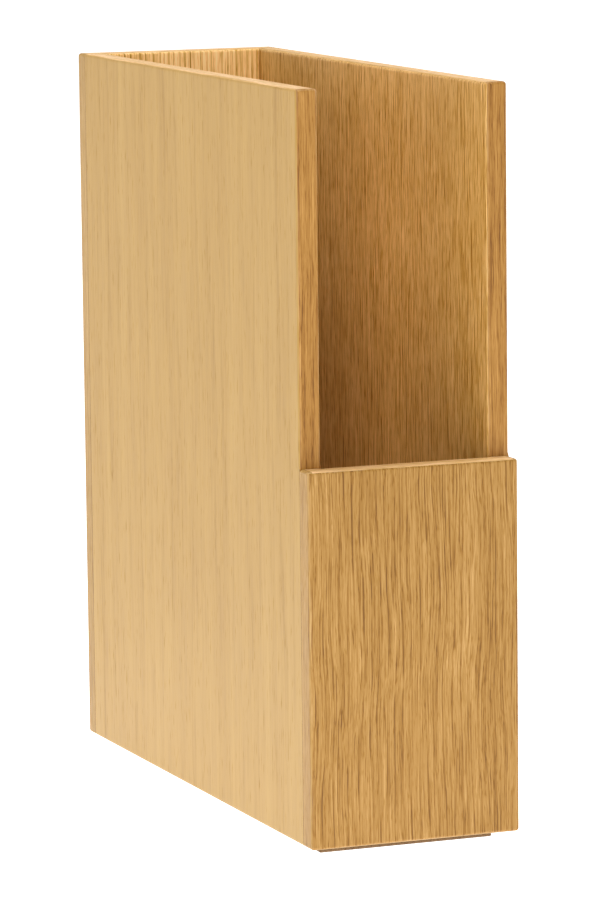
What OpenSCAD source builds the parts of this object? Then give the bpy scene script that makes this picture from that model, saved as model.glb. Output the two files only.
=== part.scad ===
// Tall, narrow magazine rack made of veneered boards with solid lippings, dowelled and glued.
// Millimetres. +Z is up and the front faces -Y. The origin is the middle of the footprint, on
// the surface that the rack stands on.

/* [Rack] */
// Outside width
rack_w = 94.5; // [80:0.5:120]
// Outside depth, from the front face to the back face
rack_d = 279.5; // [240:0.5:320]
// Height from the standing surface to the top edge
rack_h = 320; // [280:1:360]
// Height of the low front panel
front_h = 159; // [110:1:200]

/* [Boards] */
// Thickness of the boards
board_t = 9.5; // [9.5:0.5:12]
// Thickness of the solid lipping glued along each board edge
lipping_t = 2; // [1.6:0.1:2.1]
// Radius that the exposed edges are rounded to
arris_r = 1.4; // [0.8:0.1:1.5]

/* [Plinth] */
// Thickness of the plate that the rack stands on
plinth_t = 4; // [3:0.5:6]
// Setback of the plate from each side
plinth_side_gap = 7.75; // [5:0.25:9]
// Setback of the plate from the front and from the back
plinth_end_gap = 11.25; // [10:0.25:20]

/* [Joinery] */
// Diameter of the wooden dowels
dowel_d = 5; // [4:0.5:5]
// Length of the dowels
dowel_l = 20; // [16:1:22]
// Depth of the dowels in the face of the board that covers the joint
dowel_face_depth = 6.5; // [5:0.5:7]
// Length of the plinth screws
screw_l = 11; // [8:0.5:12]

/* [Hidden] */
$fn = 64;

// Planes of the body. The left side lies on -X and the back on +Y.
left_x = -rack_w / 2;
right_x = rack_w / 2;
front_y = -rack_d / 2;
back_y = rack_d / 2;
foot_z = plinth_t;
top_z = rack_h;
front_top_z = foot_z + front_h;
bay_left_x = left_x + board_t;
bay_right_x = right_x - board_t;
bay_front_y = front_y + board_t;
bay_back_y = back_y - board_t;
bay_floor_z = foot_z + board_t;

// Planes of the plinth plate
plinth_left_x = left_x + plinth_side_gap;
plinth_right_x = right_x - plinth_side_gap;
plinth_front_y = front_y + plinth_end_gap;
plinth_back_y = back_y - plinth_end_gap;

// Dowels sit in the middle of the board's thickness
dowel_inset = board_t / 2;
dowel_end_margin = 30;
dowel_chamfer = 0.5;
glue_gap = 0.05;
glue_end_gap = 0.5;
front_dowel_count = 3;
back_dowel_count = 5;
floor_side_dowel_count = 3;
floor_end_dowel_count = 2;
floor_side_dowel_margin = 40;
floor_end_dowel_margin = 18;

// Countersunk plinth screws
screw_d = 3;
screw_head_d = 5.8;
screw_head_h = 1.7;
screw_recess = 0.3;
screw_point_h = 2.5;
cross_slot_w = 0.7;
cross_slot_l = 3;
cross_slot_depth = 1.1;
screw_x = 25;
screw_y = 100;

// How far a cutter reaches past the surface that it opens
cut = 1;

oak_face = [0.84, 0.70, 0.48];
oak_front = [0.79, 0.61, 0.36];
oak_edge = [0.81, 0.63, 0.40];
oak_floor = [0.70, 0.52, 0.30];
oak_plinth = [0.55, 0.38, 0.20];
beech = [0.86, 0.72, 0.53];
steel = [0.72, 0.72, 0.70];

// Every exposed edge of the body: its two ends, and the way that it points outwards
function upright(x, y, z_from, z_to, out) = [[x, y, z_from], [x, y, z_to], out];
function across(x_from, x_to, y, z, out) = [[x_from, y, z], [x_to, y, z], out];
function along(x, y_from, y_to, z, out) = [[x, y_from, z], [x, y_to, z], out];
BODY_EDGES = [
    upright(left_x, back_y, foot_z, top_z, [-1, 1, 0]),
    upright(right_x, back_y, foot_z, top_z, [1, 1, 0]),
    upright(left_x, front_y, foot_z, front_top_z, [-1, -1, 0]),
    upright(right_x, front_y, foot_z, front_top_z, [1, -1, 0]),
    upright(left_x, bay_front_y, front_top_z, top_z, [-1, -1, 0]),
    upright(bay_left_x, bay_front_y, front_top_z, top_z, [1, -1, 0]),
    upright(right_x, bay_front_y, front_top_z, top_z, [1, -1, 0]),
    upright(bay_right_x, bay_front_y, front_top_z, top_z, [-1, -1, 0]),
    along(left_x, bay_front_y, back_y, top_z, [-1, 0, 1]),
    along(bay_left_x, bay_front_y, bay_back_y, top_z, [1, 0, 1]),
    along(right_x, bay_front_y, back_y, top_z, [1, 0, 1]),
    along(bay_right_x, bay_front_y, bay_back_y, top_z, [-1, 0, 1]),
    across(left_x, right_x, back_y, top_z, [0, 1, 1]),
    across(bay_left_x, bay_right_x, bay_back_y, top_z, [0, -1, 1]),
    across(left_x, bay_left_x, bay_front_y, top_z, [0, -1, 1]),
    across(bay_right_x, right_x, bay_front_y, top_z, [0, -1, 1]),
    across(left_x, right_x, front_y, front_top_z, [0, -1, 1]),
    across(bay_left_x, bay_right_x, bay_front_y, front_top_z, [0, 1, 1]),
    along(left_x, front_y, bay_front_y, front_top_z, [-1, 0, 1]),
    along(right_x, front_y, bay_front_y, front_top_z, [1, 0, 1]),
    along(left_x, front_y, back_y, foot_z, [-1, 0, -1]),
    along(right_x, front_y, back_y, foot_z, [1, 0, -1]),
    across(left_x, right_x, front_y, foot_z, [0, -1, -1]),
    across(left_x, right_x, back_y, foot_z, [0, 1, -1])
];
PLINTH_EDGES = [
    for (sx = [-1, 1], sy = [-1, 1])
        upright(sx * plinth_right_x, sy * plinth_back_y, 0, plinth_t, [sx, sy, 0]),
    for (sx = [-1, 1]) along(sx * plinth_right_x, plinth_front_y, plinth_back_y, 0, [sx, 0, -1]),
    for (sy = [-1, 1]) across(plinth_left_x, plinth_right_x, sy * plinth_back_y, 0, [0, sy, -1])
];

// True when the rounding of an edge takes something off the block between lo and hi
function lower(a, b) = [for (i = [0:2]) min(a[i], b[i])];
function upper(a, b) = [for (i = [0:2]) max(a[i], b[i])];
function meets(edge, lo, hi) =
    let (
        from = lower(edge[0] - arris_r * edge[2], edge[0]),
        to = upper(edge[1] - arris_r * edge[2], edge[1])
    )
    min([for (i = [0:2]) min(to[i], hi[i]) - max(from[i], lo[i])]) > 0.001;

// Evenly spread places between two ends, with a margin at each
function spread(from, to, margin, count) =
    [for (i = [0:count - 1]) from + margin + i * (to - from - 2 * margin) / (count - 1)];

module block(lo, hi) {
    translate(lo) cube(hi - lo);
}

// What a rounding takes off: the square corner outside a round rod along the edge
module arris(edge) {
    out = edge[2];
    axis = edge[1] - edge[0];
    turn = axis[0] > 0 ? [0, 90, 0] : axis[1] > 0 ? [-90, 0, 0] : [0, 0, 0];
    inner_from = edge[0] - arris_r * out;
    inner_to = edge[1] - arris_r * out;
    difference() {
        block(lower(inner_from, edge[0] + cut * out), upper(inner_to, edge[1] + cut * out));
        translate(inner_from - cut * axis / norm(axis))
            rotate(turn) cylinder(h = norm(axis) + 2 * cut, r = arris_r);
    }
}

module eased_block(lo, hi, edges = BODY_EDGES) {
    difference() {
        block(lo, hi);
        for (edge = edges) {
            if (meets(edge, lo, hi)) arris(edge);
        }
    }
}

// A dowel along +Z from its lower end, or the hole that it is glued into
module dowel(is_hole) {
    if (is_hole) {
        translate([0, 0, -glue_end_gap])
            cylinder(h = dowel_l + 2 * glue_end_gap, d = dowel_d + 2 * glue_gap);
    } else {
        tip_d = dowel_d - 2 * dowel_chamfer;
        cylinder(h = dowel_chamfer, d1 = tip_d, d2 = dowel_d);
        translate([0, 0, dowel_chamfer]) cylinder(h = dowel_l - 2 * dowel_chamfer, d = dowel_d);
        translate([0, 0, dowel_l - dowel_chamfer]) cylinder(h = dowel_chamfer, d1 = dowel_d, d2 = tip_d);
    }
}

// Dowels from the front panel into the front edge of the left side panel
module front_side_dowels(is_hole) {
    for (z = spread(foot_z, front_top_z, dowel_end_margin, front_dowel_count)) {
        translate([left_x + dowel_inset, bay_front_y - dowel_face_depth, z])
            rotate([-90, 0, 0]) dowel(is_hole);
    }
}

// Dowels from the back panel into the rear edge of the left side panel
module back_side_dowels(is_hole) {
    for (z = spread(foot_z, top_z, dowel_end_margin, back_dowel_count)) {
        translate([left_x + dowel_inset, bay_back_y + dowel_face_depth, z])
            rotate([90, 0, 0]) dowel(is_hole);
    }
}

// Dowels from the left side panel into the bottom panel
module floor_side_dowels(is_hole) {
    for (y = spread(bay_front_y, bay_back_y, floor_side_dowel_margin, floor_side_dowel_count)) {
        translate([bay_left_x - dowel_face_depth, y, foot_z + dowel_inset])
            rotate([0, 90, 0]) dowel(is_hole);
    }
}

// Dowels from the front panel into the bottom panel
module floor_end_dowels(is_hole) {
    for (x = spread(bay_left_x, bay_right_x, floor_end_dowel_margin, floor_end_dowel_count)) {
        translate([x, bay_front_y - dowel_face_depth, foot_z + dowel_inset])
            rotate([-90, 0, 0]) dowel(is_hole);
    }
}

// Makes the right-hand part from the left-hand one, or the rear part from the front one
module to_right() {
    mirror([1, 0, 0]) children();
}

module to_back() {
    mirror([0, 1, 0]) children();
}

module both_sides() {
    children();
    to_right() children();
}

module side_board() {
    difference() {
        eased_block(
            [left_x, bay_front_y + lipping_t, foot_z + lipping_t],
            [bay_left_x, bay_back_y, top_z - lipping_t]
        );
        front_side_dowels(true);
        back_side_dowels(true);
        floor_side_dowels(true);
    }
}

module side_front_lipping() {
    difference() {
        eased_block([left_x, bay_front_y, foot_z], [bay_left_x, bay_front_y + lipping_t, top_z]);
        front_side_dowels(true);
    }
}

module side_top_lipping() {
    eased_block([left_x, bay_front_y + lipping_t, top_z - lipping_t], [bay_left_x, bay_back_y, top_z]);
}

module side_bottom_lipping() {
    eased_block([left_x, bay_front_y + lipping_t, foot_z], [bay_left_x, bay_back_y, foot_z + lipping_t]);
}

module left_side_panel() {
    color(oak_face) side_board();
}

module left_side_front_lipping() {
    color(oak_edge) side_front_lipping();
}

module left_side_top_lipping() {
    color(oak_edge) side_top_lipping();
}

module left_side_bottom_lipping() {
    color(oak_edge) side_bottom_lipping();
}

module right_side_panel() {
    color(oak_face) to_right() side_board();
}

module right_side_front_lipping() {
    color(oak_edge) to_right() side_front_lipping();
}

module right_side_top_lipping() {
    color(oak_edge) to_right() side_top_lipping();
}

module right_side_bottom_lipping() {
    color(oak_edge) to_right() side_bottom_lipping();
}

module back_panel() {
    color(oak_front) difference() {
        eased_block(
            [left_x + lipping_t, bay_back_y, foot_z + lipping_t],
            [right_x - lipping_t, back_y, top_z - lipping_t]
        );
        both_sides() back_side_dowels(true);
        to_back() floor_end_dowels(true);
    }
}

// Lipping on the left end of the front or back board, as high as that board
module end_lipping(y_from, y_to, z_to) {
    eased_block([left_x, y_from, foot_z], [left_x + lipping_t, y_to, z_to]);
}

// Lipping between the two end lippings of the front or back board
module level_lipping(y_from, y_to, z_from) {
    eased_block([left_x + lipping_t, y_from, z_from], [right_x - lipping_t, y_to, z_from + lipping_t]);
}

module back_left_lipping() {
    color(oak_edge) end_lipping(bay_back_y, back_y, top_z);
}

module back_right_lipping() {
    color(oak_edge) to_right() end_lipping(bay_back_y, back_y, top_z);
}

module back_top_lipping() {
    color(oak_edge) level_lipping(bay_back_y, back_y, top_z - lipping_t);
}

module back_bottom_lipping() {
    color(oak_edge) level_lipping(bay_back_y, back_y, foot_z);
}

module front_panel() {
    color(oak_front) difference() {
        eased_block(
            [left_x + lipping_t, front_y, foot_z + lipping_t],
            [right_x - lipping_t, bay_front_y, front_top_z - lipping_t]
        );
        both_sides() front_side_dowels(true);
        floor_end_dowels(true);
    }
}

module front_left_lipping() {
    color(oak_edge) end_lipping(front_y, bay_front_y, front_top_z);
}

module front_right_lipping() {
    color(oak_edge) to_right() end_lipping(front_y, bay_front_y, front_top_z);
}

module front_top_lipping() {
    color(oak_edge) level_lipping(front_y, bay_front_y, front_top_z - lipping_t);
}

module front_bottom_lipping() {
    color(oak_edge) level_lipping(front_y, bay_front_y, foot_z);
}

module bottom_panel() {
    color(oak_floor) difference() {
        block([bay_left_x, bay_front_y, foot_z], [bay_right_x, bay_back_y, bay_floor_z]);
        both_sides() floor_side_dowels(true);
        floor_end_dowels(true);
        to_back() floor_end_dowels(true);
        at_screws() screw_hole();
    }
}

module plinth_plate() {
    color(oak_plinth) difference() {
        eased_block(
            [plinth_left_x, plinth_front_y, 0],
            [plinth_right_x, plinth_back_y, plinth_t],
            PLINTH_EDGES
        );
        at_screws() screw_hole();
    }
}

module front_left_dowels() {
    color(beech) front_side_dowels(false);
}

module front_right_dowels() {
    color(beech) to_right() front_side_dowels(false);
}

module back_left_dowels() {
    color(beech) back_side_dowels(false);
}

module back_right_dowels() {
    color(beech) to_right() back_side_dowels(false);
}

module bottom_left_dowels() {
    color(beech) floor_side_dowels(false);
}

module bottom_right_dowels() {
    color(beech) to_right() floor_side_dowels(false);
}

module bottom_front_dowels() {
    color(beech) floor_end_dowels(false);
}

module bottom_back_dowels() {
    color(beech) to_back() floor_end_dowels(false);
}

module at_screws() {
    for (x = [-screw_x, screw_x], y = [-screw_y, screw_y]) translate([x, y, 0]) children();
}

// Countersink, head seat and pilot, with the glue gap all round the screw
module screw_hole() {
    hole_d = screw_d + 2 * glue_gap;
    seat_d = screw_head_d + 2 * glue_gap;
    translate([0, 0, -cut]) cylinder(h = cut + screw_recess, d = seat_d);
    translate([0, 0, screw_recess]) cylinder(h = screw_head_h, d1 = seat_d, d2 = hole_d);
    translate([0, 0, screw_recess]) cylinder(h = screw_l + glue_end_gap, d = hole_d);
}

module screw() {
    shank_l = screw_l - screw_head_h - screw_point_h;
    translate([0, 0, screw_recess]) difference() {
        union() {
            cylinder(h = screw_head_h, d1 = screw_head_d, d2 = screw_d);
            translate([0, 0, screw_head_h]) cylinder(h = shank_l, d = screw_d);
            translate([0, 0, screw_head_h + shank_l]) cylinder(h = screw_point_h, d1 = screw_d, d2 = 0.4);
        }
        for (turn = [0, 90]) {
            rotate(turn) translate([-cross_slot_l / 2, -cross_slot_w / 2, -cut])
                cube([cross_slot_l, cross_slot_w, cut + cross_slot_depth]);
        }
    }
}

module plinth_screws() {
    color(steel) at_screws() screw();
}

left_side_panel();
left_side_front_lipping();
left_side_top_lipping();
left_side_bottom_lipping();
right_side_panel();
right_side_front_lipping();
right_side_top_lipping();
right_side_bottom_lipping();
back_panel();
back_left_lipping();
back_right_lipping();
back_top_lipping();
back_bottom_lipping();
front_panel();
front_left_lipping();
front_right_lipping();
front_top_lipping();
front_bottom_lipping();
bottom_panel();
plinth_plate();
front_left_dowels();
front_right_dowels();
back_left_dowels();
back_right_dowels();
bottom_left_dowels();
bottom_right_dowels();
bottom_front_dowels();
bottom_back_dowels();
plinth_screws();
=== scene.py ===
"""A tall oak magazine rack on a pale studio floor: lipped and dowelled boards in procedural oak."""

import math
from dataclasses import dataclass, replace

import bmesh
import bpy
from mathutils import Euler, Matrix, Vector


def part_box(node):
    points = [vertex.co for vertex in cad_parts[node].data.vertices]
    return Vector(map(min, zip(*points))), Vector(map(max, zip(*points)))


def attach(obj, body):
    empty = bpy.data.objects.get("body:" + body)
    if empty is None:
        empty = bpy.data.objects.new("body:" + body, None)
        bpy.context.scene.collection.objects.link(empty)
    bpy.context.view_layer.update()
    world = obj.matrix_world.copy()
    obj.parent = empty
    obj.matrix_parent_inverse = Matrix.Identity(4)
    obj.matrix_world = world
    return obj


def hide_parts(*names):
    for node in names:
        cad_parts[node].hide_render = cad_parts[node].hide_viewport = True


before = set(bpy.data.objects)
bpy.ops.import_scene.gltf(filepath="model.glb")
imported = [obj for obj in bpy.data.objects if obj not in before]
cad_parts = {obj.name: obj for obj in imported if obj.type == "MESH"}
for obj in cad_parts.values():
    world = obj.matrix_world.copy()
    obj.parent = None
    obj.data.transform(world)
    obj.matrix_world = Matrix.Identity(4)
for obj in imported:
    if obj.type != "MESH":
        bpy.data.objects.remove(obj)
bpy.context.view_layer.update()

X, Y, Z = 0, 1, 2
MM = 0.001
SAME_PLACE = 1e-6

# The rounding of an exposed edge, and the fine groove where one board butts against another
ARRIS_R = 1.4 * MM
ARRIS_STEPS = 6
SEAM_R = 0.18 * MM
SEAM_STEPS = 2
SHARP_ANGLE = math.radians(40)

# A dowel's room in its hole, all round and at each end
GLUE_GAP = 0.05 * MM
HOLE_END_GAP = 0.5 * MM
HOLE_SIDES = 32

# ---------------------------------------------------------------- planes of the body, from the frame

side_low, side_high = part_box("left_side_front_lipping")
front_low, front_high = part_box("front_left_lipping")
back_low, back_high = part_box("back_left_lipping")
right_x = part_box("right_side_front_lipping")[1].x
left_x, bay_left_x = side_low.x, side_high.x
bay_right_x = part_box("right_side_front_lipping")[0].x
front_y, bay_front_y = front_low.y, front_high.y
bay_back_y, back_y = back_low.y, back_high.y
foot_z, front_top_z, top_z = front_low.z, front_high.z, back_high.z


@dataclass(frozen=True)
class Line:
    """An edge of the body along one axis: its place on the other two axes, and its two ends."""

    axis: int
    place: dict
    start: float
    end: float

    def holds(self, edge):
        """True when a mesh edge lies on this line."""
        a, b = (v.co for v in edge.verts)
        if abs(a[self.axis] - b[self.axis]) < SAME_PLACE:
            return False
        if any(abs(p[i] - at) > SAME_PLACE for p in (a, b) for i, at in self.place.items()):
            return False
        return self.start < (a[self.axis] + b[self.axis]) / 2 < self.end


ROUNDED = [
    *[Line(Z, {X: x, Y: back_y}, foot_z, top_z) for x in (left_x, right_x)],
    *[Line(Z, {X: x, Y: front_y}, foot_z, front_top_z) for x in (left_x, right_x)],
    *[
        Line(Z, {X: x, Y: bay_front_y}, front_top_z, top_z)
        for x in (left_x, bay_left_x, bay_right_x, right_x)
    ],
    *[Line(Y, {X: x, Z: top_z}, bay_front_y, back_y) for x in (left_x, right_x)],
    *[Line(Y, {X: x, Z: top_z}, bay_front_y, bay_back_y) for x in (bay_left_x, bay_right_x)],
    Line(X, {Y: back_y, Z: top_z}, left_x, right_x),
    Line(X, {Y: bay_back_y, Z: top_z}, bay_left_x, bay_right_x),
    Line(X, {Y: bay_front_y, Z: top_z}, left_x, bay_left_x),
    Line(X, {Y: bay_front_y, Z: top_z}, bay_right_x, right_x),
    Line(X, {Y: front_y, Z: front_top_z}, left_x, right_x),
    Line(X, {Y: bay_front_y, Z: front_top_z}, bay_left_x, bay_right_x),
    *[Line(Y, {X: x, Z: front_top_z}, front_y, bay_front_y) for x in (left_x, right_x)],
    *[Line(Y, {X: x, Z: foot_z}, front_y, back_y) for x in (left_x, right_x)],
    *[Line(X, {Y: y, Z: foot_z}, left_x, right_x) for y in (front_y, back_y)],
]
# Where one board butts against another, a hairline shows on the outside
SEAMS = [
    *[Line(Z, {X: x, Y: bay_front_y}, foot_z, front_top_z) for x in (left_x, right_x)],
    *[Line(Z, {X: x, Y: bay_back_y}, foot_z, top_z) for x in (left_x, right_x)],
    Line(X, {Y: bay_back_y, Z: top_z}, left_x, bay_left_x),
    Line(X, {Y: bay_back_y, Z: top_z}, bay_right_x, right_x),
]
# Rounded edges stop at these planes, so the mesh of a piece that crosses one gets a ring of edges there
STOPS = [(Z, front_top_z + ARRIS_R), (X, bay_left_x), (X, bay_right_x)]


def box_mesh(low, high):
    """A box, with a ring of edges where a rounded edge stops."""
    bm = bmesh.new()
    bmesh.ops.create_cube(bm, size=1)
    for v in bm.verts:
        v.co = Vector([low[i] if v.co[i] < 0 else high[i] for i in range(3)])
    for axis, at in STOPS:
        if low[axis] + ARRIS_R < at < high[axis] - ARRIS_R:
            normal = Vector((0, 0, 0))
            normal[axis] = 1
            everything = bm.verts[:] + bm.edges[:] + bm.faces[:]
            bmesh.ops.bisect_plane(bm, geom=everything, plane_co=normal * at, plane_no=normal)
    return bm


def round_edges(bm, lines, radius, steps, wear_and_highlight=None):
    """Rounds the edges that lie on the lines, and returns the new faces.

    The layer passed in gets 1 along the crown of each rounding, where pale wear and a painted highlight go,
    and 0 where it meets a flat face."""
    edges = [edge for edge in bm.edges if any(line.holds(edge) for line in lines)]
    if not edges:
        return []
    made = bmesh.ops.bevel(
        bm, geom=edges, offset=radius, offset_type="OFFSET", segments=steps,
        profile=0.5, affect="EDGES", clamp_overlap=False,
    )
    if wear_and_highlight is not None:
        bm.normal_update()
        rounded = set(made["faces"])
        for v in {v for face in rounded for v in face.verts}:
            if all(face in rounded for face in v.link_faces):
                slant = 1 - max(abs(c) for c in v.normal)
                v[wear_and_highlight] = slant / (1 - math.sqrt(0.5))
    return made["faces"]


def to_object(bm, name):
    """A smooth-shaded object from the bmesh, with flat faces kept flat by their weight."""
    mesh = bpy.data.meshes.new(name)
    bmesh.ops.recalc_face_normals(bm, faces=bm.faces[:])
    bm.to_mesh(mesh)
    bm.free()
    mesh.shade_smooth()
    mesh.set_sharp_from_angle(angle=SHARP_ANGLE)
    obj = bpy.data.objects.new(name, mesh)
    bpy.context.scene.collection.objects.link(obj)
    normals = obj.modifiers.new("flat faces", "WEIGHTED_NORMAL")
    normals.keep_sharp = True
    return obj


# ---------------------------------------------------------------- dowel holes


def dowel_rods(node, count):
    """Each dowel of a CAD node, as the axis it lies along, its middle, its length and its radius.

    The node's box is longest along the row of dowels and thinnest across them."""
    low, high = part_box(node)
    size = high - low
    spread = max(range(3), key=lambda i: size[i])
    across = min(range(3), key=lambda i: size[i])
    axis = 3 - spread - across
    radius = size[across] / 2
    rods = []
    for i in range(count):
        middle = (low + high) / 2
        middle[spread] = low[spread] + radius + i * (size[spread] - 2 * radius) / (count - 1)
        rods.append((axis, middle, size[axis], radius))
    return rods


# How many dowels each node has, and the boards and lippings that they go into
DOWELS = {
    "front_left_dowels": (3, "front_panel", "left_side_panel", "left_side_front_lipping"),
    "front_right_dowels": (3, "front_panel", "right_side_panel", "right_side_front_lipping"),
    "back_left_dowels": (5, "back_panel", "left_side_panel"),
    "back_right_dowels": (5, "back_panel", "right_side_panel"),
    "bottom_left_dowels": (3, "left_side_panel", "bottom_panel"),
    "bottom_right_dowels": (3, "right_side_panel", "bottom_panel"),
    "bottom_front_dowels": (2, "front_panel", "bottom_panel"),
    "bottom_back_dowels": (2, "back_panel", "bottom_panel"),
}


def hole_cutter(node):
    """A mesh of rods, one for each hole that the piece for this node has."""
    bm = bmesh.new()
    for dowels, (count, *boards) in DOWELS.items():
        if node not in boards:
            continue
        for axis, middle, length, radius in dowel_rods(dowels, count):
            turn = Matrix.Rotation(math.pi / 2, 4, "Y" if axis == X else "X")
            bmesh.ops.create_cone(
                bm, cap_ends=True, segments=HOLE_SIDES,
                radius1=radius + GLUE_GAP, radius2=radius + GLUE_GAP,
                depth=length + 2 * HOLE_END_GAP, matrix=Matrix.Translation(middle) @ turn,
            )
    return bm


def drill(obj, node):
    """Cuts the dowel holes into a board."""
    bm = hole_cutter(node)
    if not bm.verts:
        bm.free()
        return
    mesh = bpy.data.meshes.new("holes")
    bm.to_mesh(mesh)
    bm.free()
    cutter = bpy.data.objects.new("holes", mesh)
    bpy.context.scene.collection.objects.link(cutter)
    cut = obj.modifiers.new("holes", "BOOLEAN")
    cut.operation = "DIFFERENCE"
    cut.solver = "EXACT"
    cut.object = cutter
    obj.modifiers.move(len(obj.modifiers) - 1, 0)
    depsgraph = bpy.context.evaluated_depsgraph_get()
    weighted = obj.modifiers["flat faces"]
    weighted.show_viewport = False
    drilled = bpy.data.meshes.new_from_object(obj.evaluated_get(depsgraph), depsgraph=depsgraph)
    weighted.show_viewport = True
    obj.modifiers.remove(cut)
    obj.data = drilled
    obj.data.name = obj.name
    bpy.data.objects.remove(cutter)


# ---------------------------------------------------------------- shader helpers


class Nodes:
    """Short forms for making shader nodes. A value may be a number or another node's output."""

    def __init__(self, name):
        self.material = bpy.data.materials.new(name)
        self.material.use_nodes = True
        self.tree = self.material.node_tree
        self.shader = self.tree.nodes["Principled BSDF"]

    def put(self, socket, value):
        if isinstance(value, bpy.types.NodeSocket):
            self.tree.links.new(value, socket)
        else:
            socket.default_value = value

    def node(self, kind, *inputs, **settings):
        made = self.tree.nodes.new(kind)
        for key, value in settings.items():
            setattr(made, key, value)
        for i, value in enumerate(inputs):
            if value is not None:
                self.put(made.inputs[i], value)
        return made

    def math(self, operation, *values, clamp=False):
        return self.node("ShaderNodeMath", *values, operation=operation, use_clamp=clamp).outputs[0]

    def vector(self, operation, *values):
        return self.node("ShaderNodeVectorMath", *values, operation=operation).outputs[0]

    def ramp(self, value, low, high, smooth=True):
        """0 below low and 1 above high."""
        made = self.node("ShaderNodeMapRange", interpolation_type="SMOOTHSTEP" if smooth else "LINEAR")
        self.put(made.inputs["Value"], value)
        made.inputs["From Min"].default_value = low
        made.inputs["From Max"].default_value = high
        return made.outputs["Result"]

    def noise(self, point, size, seed, detail=2.0, roughness=0.5, distortion=0.0):
        """Noise between 0 and 1 whose features are about size across, deep and long."""
        frequency = [1 / s for s in size]
        scaled = self.vector("MULTIPLY_ADD", point, frequency, [seed, seed * 1.7, seed * 2.3])
        made = self.node("ShaderNodeTexNoise")
        self.put(made.inputs["Vector"], scaled)
        made.inputs["Scale"].default_value = 1.0
        made.inputs["Detail"].default_value = detail
        made.inputs["Roughness"].default_value = roughness
        made.inputs["Distortion"].default_value = distortion
        return made.outputs["Fac"]

    def bump(self, height, strength, distance):
        """Bumps the shader's surface by a height between 0 and 1."""
        made = self.node("ShaderNodeBump")
        self.put(made.inputs["Height"], height)
        made.inputs["Strength"].default_value = strength
        made.inputs["Distance"].default_value = distance
        self.put(self.shader.inputs["Normal"], made.outputs["Normal"])

    def mix(self, share, first, second):
        """The first colour where share is 0, the second where it is 1."""
        made = self.node("ShaderNodeMix", data_type="RGBA")
        self.put(made.inputs["Factor"], share)
        self.put(made.inputs["A"], first)
        self.put(made.inputs["B"], second)
        return made.outputs["Result"]

    def colours(self, value, stops):
        """A colour ramp through (place, (r, g, b)) stops."""
        made = self.node("ShaderNodeValToRGB", value)
        ramp = made.color_ramp
        while len(ramp.elements) < len(stops):
            ramp.elements.new(1.0)
        for element, (place, colour) in zip(ramp.elements, stops):
            element.position = place
            element.color = (*colour, 1.0)
        return made.outputs["Color"]


# ---------------------------------------------------------------- oak


@dataclass(frozen=True)
class Lines:
    """Rows of dark pores in sliced oak: broken lines along the grain, gathered in one row for each ring.

    Pitch is the distance between rows and size a line's (width, length), in metres. Pull is how closely the
    lines keep to their row. A line darkens as its noise goes from low to high, and takes strength off the
    tone. Drift is how many rows it wanders across."""

    pitch: float
    size: tuple
    pull: float
    low: float
    high: float
    strength: float
    drift: float = 1.2


@dataclass(frozen=True)
class Oak:
    """How one cut of oak looks. Pairs of sizes are (across the grain, along the grain), in metres.

    Tone runs from 0, the darkest pore, through 0.5, plain honey, to 1, the palest wood. A face may
    have a broad paler band, a painted sheen, centred on pale_at across the grain and gone pale_reach away
    from it."""

    tone: float = 0.74
    tint: tuple = (0.76, 0.755, 0.71)
    band: tuple = (11 * MM, 190 * MM)
    band_strength: float = 0.27
    wave: tuple = (24 * MM, 75 * MM)
    wave_reach: float = 2.6 * MM
    ripple: tuple = (4 * MM, 18 * MM)
    ripple_reach: float = 0.34 * MM
    rows: Lines = Lines(3.7 * MM, (0.7 * MM, 42 * MM), 0.24, 0.45, 0.88, 0.46)
    finer: Lines = Lines(1.35 * MM, (0.55 * MM, 28 * MM), 0.20, 0.42, 0.86, 0.44)
    pores: Lines = Lines(0.8 * MM, (0.36 * MM, 5 * MM), 0.08, 0.50, 0.74, 0.30)
    fibre: tuple = (0.7 * MM, 40 * MM)
    fibre_strength: float = 0.58
    gloss: float = 0.48
    bump: float = 0.35
    pale_at: float = 0.0
    pale_reach: float = 0.0
    pale: tuple = (1.0, 1.0, 1.0)


# Albedo of the oak at evenly spaced tones: pore, early wood, honey, tan and pale late wood
OAK_COLOURS = [
    (0.00, (0.220, 0.085, 0.003)),
    (0.25, (0.345, 0.150, 0.009)),
    (0.50, (0.465, 0.235, 0.044)),
    (0.75, (0.545, 0.293, 0.073)),
    (1.00, (0.700, 0.405, 0.140)),
]

# The pale wood that shows in patches along the crown of an arris: partly sanded and rubbed wear, partly a
# painted highlight
WORN_AND_HIGHLIGHT_OAK = (0.68, 0.47, 0.25)
WEAR_AND_HIGHLIGHT_SHARE = 0.30
WEAR_AND_HIGHLIGHT_PATCH = (6 * MM, 25 * MM)
WEAR_AND_HIGHLIGHT_RANGE = (0.40, 0.70)

# The matt lacquer over the wood
SHINE = 0.34
LACQUER = 0.08
LACQUER_ROUGHNESS = 0.42
PORE_ROUGHNESS = 0.2
FIBRE_ROUGHNESS = 0.08

# How much of the bump's height each part of the grain gives
PORE_DEPTH = 0.8
ROW_DEPTH = 0.6
FIBRE_HEIGHT = 0.5
GRAIN_DEPTH = 0.05 * MM

# How far the rings shift across the grain for each metre of depth in the board
RING_SLANT = 0.35
# How long a row of pores runs before it drifts aside, and how many neighbouring rows drift together
DRIFT_LENGTH = 320 * MM
DRIFT_ROWS = 4
# A row of pores lies in the middle of its ring, and ends this share of the way to the ring's border. The
# noise of its lines is raised by this share of their pull in the row, and lowered by the rest between rows
ROW_REACH = 0.8
ROW_SHARE = 0.6

FACE_OAK = Oak()


def softer(look, share):
    """The same oak with its lines fainter."""
    return replace(
        look,
        rows=replace(look.rows, strength=look.rows.strength * share),
        finer=replace(look.finer, strength=look.finer.strength * share),
        pores=replace(look.pores, strength=look.pores.strength * share),
    )


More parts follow.
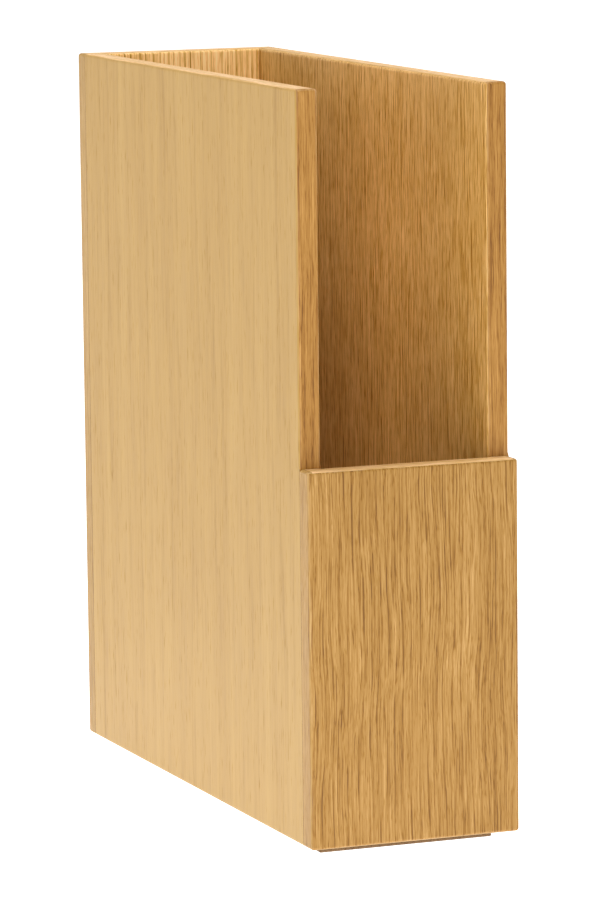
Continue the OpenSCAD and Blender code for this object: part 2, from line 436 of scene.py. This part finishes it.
QUIET_OAK = replace(
    FACE_OAK, tone=0.57, tint=(0.85, 0.96, 1.00), band=(10 * MM, 260 * MM), band_strength=0.14,
    wave_reach=1.2 * MM, ripple_reach=0.2 * MM, fibre=(2.2 * MM, 45 * MM), fibre_strength=0.24,
    rows=Lines(13 * MM, (2.8 * MM, 50 * MM), 0.22, 0.50, 0.90, 0.13),
    finer=Lines(5.5 * MM, (2.0 * MM, 26 * MM), 0.18, 0.48, 0.86, 0.08),
    pores=Lines(2.4 * MM, (0.7 * MM, 8 * MM), 0.12, 0.60, 0.80, 0.22),
)
INNER_OAK = replace(
    FACE_OAK, tone=0.92, tint=(1.06, 1.11, 1.14), band=(16 * MM, 170 * MM), band_strength=0.20,
    wave_reach=0.9 * MM, ripple_reach=0.25 * MM, fibre=(0.6 * MM, 26 * MM), fibre_strength=0.62,
    rows=Lines(3.3 * MM, (0.7 * MM, 26 * MM), 0.15, 0.48, 0.84, 0.62),
    finer=Lines(1.25 * MM, (0.5 * MM, 15 * MM), 0.10, 0.45, 0.80, 0.66),
    pores=Lines(0.75 * MM, (0.34 * MM, 6 * MM), 0.06, 0.48, 0.74, 0.52),
    # A broad paler band across the middle of the inner faces: a painted sheen of the lacquer
    pale_at=-15 * MM, pale_reach=80 * MM, pale=(1.22, 1.23, 1.30),
)
BACK_OAK = replace(
    FACE_OAK, tone=0.94, tint=(1.62, 1.84, 2.4), wave_reach=1.0 * MM, ripple_reach=0.3 * MM,
    rows=Lines(2.4 * MM, (0.8 * MM, 70 * MM), 0.26, 0.46, 0.82, 0.62),
)
EDGE_OAK = replace(
    FACE_OAK, tone=0.78, tint=(0.72, 0.78, 0.90), wave_reach=1.2 * MM,
    rows=replace(FACE_OAK.rows, size=(0.75 * MM, 20 * MM)),
    finer=replace(FACE_OAK.finer, size=(0.6 * MM, 12 * MM)),
)
FRONT_EDGE_OAK = replace(EDGE_OAK, tint=(0.72, 0.635, 0.43))
# The pale, bluish tint of the top edges is painted light from above, with a painted sheen
TOP_EDGE_OAK = replace(softer(EDGE_OAK, 0.7), tone=0.85, tint=(1.16, 1.30, 1.95))
END_OAK = replace(softer(EDGE_OAK, 0.8), tint=(0.70, 0.72, 0.65))
# The front board's top edge is paler still: painted light from above, with a painted sheen
FRONT_TOP_OAK = replace(softer(EDGE_OAK, 0.8), tone=0.82, tint=(1.34, 1.56, 2.6))
BACK_END_OAK = replace(softer(EDGE_OAK, 0.5), tint=(0.69, 0.73, 0.70))
# The plinth's dark tint is painted shade, for the shadow in the low gap under the boards
PLINTH_OAK = replace(FACE_OAK, tint=(0.31, 0.31, 0.36))


def tinted(stops, tint):
    """The colour stops with each colour times the tint."""
    return [(at, [c * t for c, t in zip(colour, tint)]) for at, colour in stops]


class Grain:
    """The grain of one cut of oak, in the nodes of one material."""

    def __init__(self, n, along, across, seed, look):
        self.n, self.seed, self.look = n, seed, look
        place = n.node("ShaderNodeTexCoord").outputs["Object"]
        xyz = n.node("ShaderNodeSeparateXYZ", place).outputs
        deep = 3 - along - across
        self.across = xyz[across]
        self.straight = n.node("ShaderNodeCombineXYZ", xyz[across], xyz[deep], xyz[along]).outputs[0]
        self.warped = self.wander()
        parts = n.node("ShaderNodeSeparateXYZ", self.warped).outputs
        self.slanted = n.math("MULTIPLY_ADD", parts[1], RING_SLANT, parts[0])
        self.fibre = self.noise(self.warped, look.fibre, 17, detail=3.0, roughness=0.6)
        self.rows = self.dark_lines(look.rows, 21)
        self.finer = self.dark_lines(look.finer, 27)
        self.pores = self.dark_lines(look.pores, 33)

    def noise(self, point, size, salt, **settings):
        """Noise between 0 and 1 with features of size (across, along) the grain."""
        return self.n.noise(point, (size[0], size[0], size[1]), self.seed + salt, **settings)

    def about_zero(self, value, reach):
        """A value between 0 and 1 turned into one between -reach and reach."""
        return self.n.math("MULTIPLY_ADD", value, 2 * reach, -reach)

    def wander(self):
        """The place in the wood. The grain wanders as it rises, and neighbouring fibres wander together."""
        n, look = self.n, self.look
        broad = self.about_zero(self.noise(self.straight, look.wave, 0, detail=1.0), look.wave_reach)
        ripple = self.about_zero(self.noise(self.straight, look.ripple, 5, detail=1.0), look.ripple_reach)
        shift = n.math("ADD", broad, ripple)
        aside = n.node("ShaderNodeCombineXYZ", shift, shift, 0.0).outputs[0]
        return n.vector("ADD", self.straight, aside)

    def dark_lines(self, lines, salt):
        """1 on a dark line and 0 off it. Each line swells and fades along its length."""
        n = self.n
        drifting = self.noise(self.warped, (DRIFT_ROWS * lines.pitch, DRIFT_LENGTH), salt, detail=1.0)
        drift = self.about_zero(drifting, lines.drift)
        ring = n.math("FRACT", n.math("MULTIPLY_ADD", self.slanted, 1 / lines.pitch, drift))
        off_row = n.math("ABSOLUTE", n.math("MULTIPLY_ADD", ring, 2.0, -1.0))
        away = n.ramp(off_row, 0.0, ROW_REACH)
        pull = n.math("MULTIPLY_ADD", away, -lines.pull, lines.pull * ROW_SHARE)
        dashes = self.noise(self.warped, lines.size, salt + 3, detail=1.5)
        return n.ramp(n.math("ADD", dashes, pull), lines.low, lines.high)

    def tone(self):
        """The tone of the wood, from its broad bands, its fibres and its dark lines."""
        n, look = self.n, self.look
        band = self.about_zero(self.noise(self.warped, look.band, 13, detail=2.0), look.band_strength)
        tone = n.math("ADD", band, look.tone)
        tone = n.math("ADD", tone, self.about_zero(self.fibre, look.fibre_strength))
        tone = n.math("MULTIPLY_ADD", self.rows, -look.rows.strength, tone)
        tone = n.math("MULTIPLY_ADD", self.finer, -look.finer.strength, tone)
        return n.math("MULTIPLY_ADD", self.pores, -look.pores.strength, tone)

    def wood_colour(self):
        """The tone's colour, with a broad paler band of painted sheen where the look has one."""
        n, look = self.n, self.look
        tone = self.tone()
        stops = tinted(OAK_COLOURS, look.tint)
        if not look.pale_reach:
            return n.colours(tone, stops)
        off_painted_sheen = n.math("ABSOLUTE", n.math("SUBTRACT", self.across, look.pale_at))
        in_painted_sheen = n.math("SUBTRACT", 1.0, n.ramp(off_painted_sheen, 0.0, look.pale_reach))
        return n.mix(in_painted_sheen, n.colours(tone, stops), n.colours(tone, tinted(stops, look.pale)))

    def wear_and_highlight_share(self):
        """How much pale wood shows along the arrises, in patches, from the mesh's layer for the crowns:
        partly rubbed wear, partly a painted highlight.
        """
        n = self.n
        wear_and_highlight = n.node("ShaderNodeAttribute", attribute_name="wear_and_highlight").outputs["Fac"]
        patches = n.ramp(self.noise(self.straight, WEAR_AND_HIGHLIGHT_PATCH, 41, detail=2.0), *WEAR_AND_HIGHLIGHT_RANGE)
        return n.math("MULTIPLY", n.math("MULTIPLY", wear_and_highlight, patches), WEAR_AND_HIGHLIGHT_SHARE)

    def roughness(self):
        """Rougher in the pores, and a little uneven along the fibres."""
        rough = self.n.math("MULTIPLY_ADD", self.pores, PORE_ROUGHNESS, self.look.gloss)
        return self.n.math("ADD", rough, self.about_zero(self.fibre, FIBRE_ROUGHNESS))

    def height(self):
        """Pores and rows lie below the surface, and fibres stand a little proud of it."""
        raised = self.n.math("MULTIPLY", self.fibre, FIBRE_HEIGHT)
        raised = self.n.math("MULTIPLY_ADD", self.pores, -PORE_DEPTH, raised)
        return self.n.math("MULTIPLY_ADD", self.rows, -ROW_DEPTH, raised)


def oak(name, along, across, seed, look=FACE_OAK):
    """Oak with its grain along one axis and its rings crossed by another."""
    n = Nodes(name)
    grain = Grain(n, along, across, seed, look)
    # Pale wood on the arris crowns, partly wear and partly a painted highlight along the rounded edges
    colour = n.mix(grain.wear_and_highlight_share(), grain.wood_colour(), (*WORN_AND_HIGHLIGHT_OAK, 1.0))
    n.put(n.shader.inputs["Base Color"], colour)
    n.put(n.shader.inputs["Roughness"], grain.roughness())
    n.shader.inputs["Specular IOR Level"].default_value = SHINE
    n.shader.inputs["Coat Weight"].default_value = LACQUER
    n.shader.inputs["Coat Roughness"].default_value = LACQUER_ROUGHNESS
    n.bump(grain.height(), look.bump, GRAIN_DEPTH)
    return n.material


# ---------------------------------------------------------------- cores, dowels and metal

FLECK_RANGE = (0.35, 0.65)
FLECK_ROUGHNESS = 0.12
FLECK_BUMP = 0.3
FLECK_DEPTH = 0.03 * MM


def flecked(name, size, first, second, roughness, seed, metallic=0.0):
    """A material that varies between two colours in flecks of one size, and a little in roughness."""
    n = Nodes(name)
    place = n.node("ShaderNodeTexCoord").outputs["Object"]
    flecks = n.ramp(n.noise(place, (size, size, size), seed, detail=3.0), *FLECK_RANGE)
    n.put(n.shader.inputs["Base Color"], n.mix(flecks, (*first, 1.0), (*second, 1.0)))
    n.put(n.shader.inputs["Roughness"], n.math("MULTIPLY_ADD", flecks, FLECK_ROUGHNESS, roughness))
    n.shader.inputs["Metallic"].default_value = metallic
    n.bump(flecks, FLECK_BUMP, FLECK_DEPTH)
    return n.material


# ---------------------------------------------------------------- pieces

# Material slots of a wooden piece
OUTSIDE, INSIDE, EDGES, JOINT = range(4)
# A face belongs to a veneer when this much of its normal points the way the board faces, so a veneer
# wraps half of each rounding
VENEER_SLANT = 0.7

joint = flecked("joint", 0.8 * MM, (0.26, 0.14, 0.05), (0.17, 0.09, 0.03), 0.7, 9.3)
core = flecked("board_core", 1.2 * MM, (0.36, 0.24, 0.12), (0.24, 0.14, 0.06), 0.75, 7.7)
beech = flecked("beech", 0.9 * MM, (0.62, 0.40, 0.22), (0.52, 0.31, 0.15), 0.55, 15.1)
zinc = flecked("zinc_plate", 0.5 * MM, (0.72, 0.70, 0.66), (0.60, 0.58, 0.55), 0.28, 19.4, metallic=1.0)
floor_oak = oak("oak_floor", Y, X, 12.9)
plinth_oak = oak("oak_plinth", Y, X, 31.9, PLINTH_OAK)


def wood_piece(node, facing, outward, outside, inside, edges):
    """The piece that stands for a CAD node of wood: its rounded block, drilled, in its oak.

    The veneers lie over the board and its lippings, on the flat faces across the facing axis.
    The edges material is on all the rest."""
    bm = box_mesh(*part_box(node))
    wear_and_highlight = bm.verts.layers.float.new("wear_and_highlight")
    round_edges(bm, ROUNDED, ARRIS_R, ARRIS_STEPS, wear_and_highlight)
    for face in round_edges(bm, SEAMS, SEAM_R, SEAM_STEPS):
        face.material_index = JOINT
    piece = to_object(bm, node + "_oak")
    for material in (outside, inside, edges, joint):
        piece.data.materials.append(material)
    drill(piece, node)
    for face in piece.data.polygons:
        faced = face.normal[facing] * outward
        if face.material_index == JOINT:
            continue
        if faced > VENEER_SLANT:
            face.material_index = OUTSIDE
        elif faced < -VENEER_SLANT:
            face.material_index = INSIDE
        else:
            face.material_index = EDGES
    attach(piece, "root")
    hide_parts(node)
    return piece


# The lippings of a board that faces along X or Y: its edge, the axis along it, and the axis across its rings
LIPPINGS = {
    X: (("front", Z, X), ("top", Y, X), ("bottom", Y, X)),
    Y: (("left", Z, Y), ("right", Z, Y), ("top", X, Y), ("bottom", X, Y)),
}
SIDE_EDGES = {"front": FRONT_EDGE_OAK, "top": TOP_EDGE_OAK}
FRONT_EDGES = {"left": END_OAK, "right": END_OAK, "top": FRONT_TOP_OAK}
BACK_EDGES = {"left": BACK_END_OAK, "right": BACK_END_OAK, "top": TOP_EDGE_OAK}
# Steps between the seeds of the materials on one board
INSIDE_SEED, EDGE_SEED, NEXT_EDGE_SEED = 11.7, 23.1, 4


def lipped_board(board, facing, outward, seed, outside_look, inside_look, edge_looks):
    """A veneered board and its solid lippings. The edges of a lipping show its own oak."""
    across = Y if facing == X else X
    outside = oak(f"oak_{board}_outside", Z, across, seed, outside_look)
    inside = oak(f"oak_{board}_inside", Z, across, seed + INSIDE_SEED, inside_look)
    wood_piece(f"{board}_panel", facing, outward, outside, inside, core)
    for i, (edge, along, crossed) in enumerate(LIPPINGS[facing]):
        look = edge_looks.get(edge, EDGE_OAK)
        edge_seed = seed + EDGE_SEED + NEXT_EDGE_SEED * i
        edges = oak(f"oak_{board}_{edge}_edge", along, crossed, edge_seed, look)
        lipping = wood_piece(f"{board}_{edge}_lipping", facing, outward, outside, inside, edges)


def finish_cad_node(node, material):
    """Gives a CAD node its material."""
    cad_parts[node].material_slots[0].material = material


for side, outward, seed in (("left_side", -1, 3.1), ("right_side", 1, 47.3)):
    lipped_board(side, X, outward, seed, QUIET_OAK, INNER_OAK, SIDE_EDGES)
lipped_board("front", Y, -1, 71.9, FACE_OAK, FACE_OAK, FRONT_EDGES)
lipped_board("back", Y, 1, 83.3, FACE_OAK, BACK_OAK, BACK_EDGES)
wood_piece("bottom_panel", Z, -1, floor_oak, floor_oak, core)
finish_cad_node("plinth_plate", plinth_oak)
finish_cad_node("plinth_screws", zinc)
for node in DOWELS:
    finish_cad_node(node, beech)

# ---------------------------------------------------------------- studio

CAMERA_PLACE = Vector((-0.8076, -2.0488, 0.4658))
CAMERA_TURN = math.radians(21.626)
CAMERA_DIP = math.radians(8.123)
CAMERA_ROLL = math.radians(-0.613)
CAMERA_LENS = 202.14
CAMERA_SENSOR = 36
CAMERA_REACH = 100

# Strength of the white walls and of the dimmer ceiling, and the heights where the one turns into the other
WALL_LIGHT, CEILING_LIGHT = 1.00, 0.16
WALL_TOP, CEILING_FROM = 0.20, 0.36

FLOOR_SIZE = 60.0
FLOOR_DROP = 0.1 * MM
FLOOR_COLOUR = (0.45, 0.45, 0.45, 1)
FLOOR_ROUGHNESS = 0.9
NEAR_GLOW, FAR_GLOW = 1.58, 1.05
GLOW_FROM, GLOW_TO = 0.2, 0.7

LAMP_AIM = Vector((0, 0, 0.16))
LAMP_DISTANCE = 3.3
LAMP_SIZE = 2.2
KEY_SIZE = 1.2


def make_camera():
    """The camera, turned to the right, dipped down and rolled a little."""
    camera = bpy.data.objects.new("camera", bpy.data.cameras.new("camera"))
    camera.data.lens = CAMERA_LENS
    camera.data.sensor_width = CAMERA_SENSOR
    camera.data.clip_end = CAMERA_REACH
    camera.matrix_world = (
        Matrix.Translation(CAMERA_PLACE)
        @ Euler((math.pi / 2 - CAMERA_DIP, 0, -CAMERA_TURN)).to_matrix().to_4x4()
        @ Matrix.Rotation(CAMERA_ROLL, 4, "Z")
    )
    bpy.context.scene.collection.objects.link(camera)
    bpy.context.scene.camera = camera


def make_room():
    """White walls low down and a dimmer ceiling above, as a background by height."""
    world = bpy.data.worlds.new("studio")
    bpy.context.scene.world = world
    world.use_nodes = True
    nodes = world.node_tree.nodes
    links = world.node_tree.links
    height = nodes.new("ShaderNodeSeparateXYZ")
    fade = nodes.new("ShaderNodeMapRange")
    fade.inputs["From Min"].default_value = WALL_TOP
    fade.inputs["From Max"].default_value = CEILING_FROM
    fade.inputs["To Min"].default_value = WALL_LIGHT
    fade.inputs["To Max"].default_value = CEILING_LIGHT
    links.new(nodes.new("ShaderNodeTexCoord").outputs["Generated"], height.inputs[0])
    links.new(height.outputs["Z"], fade.inputs["Value"])
    links.new(fade.outputs["Result"], nodes["Background"].inputs["Strength"])
    nodes["Background"].inputs["Color"].default_value = (1, 1, 1, 1)


def pale_floor():
    """A white floor that glows, more so near the object, so that its shadow hardly shows."""
    n = Nodes("pale_floor")
    n.shader.inputs["Base Color"].default_value = FLOOR_COLOUR
    n.shader.inputs["Roughness"].default_value = FLOOR_ROUGHNESS
    place = n.node("ShaderNodeTexCoord").outputs["Object"]
    away = n.node("ShaderNodeVectorMath", place, operation="LENGTH").outputs["Value"]
    far = n.ramp(away, GLOW_FROM, GLOW_TO)
    n.shader.inputs["Emission Color"].default_value = (1, 1, 1, 1)
    glow = n.math("MULTIPLY_ADD", far, FAR_GLOW - NEAR_GLOW, NEAR_GLOW)
    n.put(n.shader.inputs["Emission Strength"], glow)
    return n.material


def make_floor():
    """A wide square, just under the plinth."""
    mesh = bpy.data.meshes.new("floor")
    bm = bmesh.new()
    bmesh.ops.create_grid(bm, x_segments=1, y_segments=1, size=FLOOR_SIZE / 2)
    bm.to_mesh(mesh)
    bm.free()
    made = bpy.data.objects.new("floor", mesh)
    made.location.z = -FLOOR_DROP
    mesh.materials.append(pale_floor())
    bpy.context.scene.collection.objects.link(made)
    return made


def softbox(name, turn, height, power, size=LAMP_SIZE):
    """A square lamp, turned from the front towards the right and raised, by angles in degrees."""
    turn, height = math.radians(turn), math.radians(height)
    away = Vector((math.cos(height) * math.sin(turn), -math.cos(height) * math.cos(turn), math.sin(height)))
    lamp = bpy.data.objects.new(name, bpy.data.lights.new(name, "AREA"))
    lamp.data.shape = "SQUARE"
    lamp.data.size = size
    lamp.data.energy = power
    lamp.location = LAMP_AIM + LAMP_DISTANCE * away
    lamp.rotation_mode = "QUATERNION"
    lamp.rotation_quaternion = (-away).to_track_quat("-Z", "Y")
    lamp.visible_camera = False
    bpy.context.scene.collection.objects.link(lamp)


make_camera()
make_room()
floor = make_floor()
softbox("key", turn=-26, height=16, power=34, size=KEY_SIZE)
softbox("rear_left", turn=-130, height=62, power=54)
softbox("right", turn=116, height=22, power=62)
softbox("overhead", turn=0, height=90, power=66)

bpy.context.scene.view_settings.view_transform = "Standard"
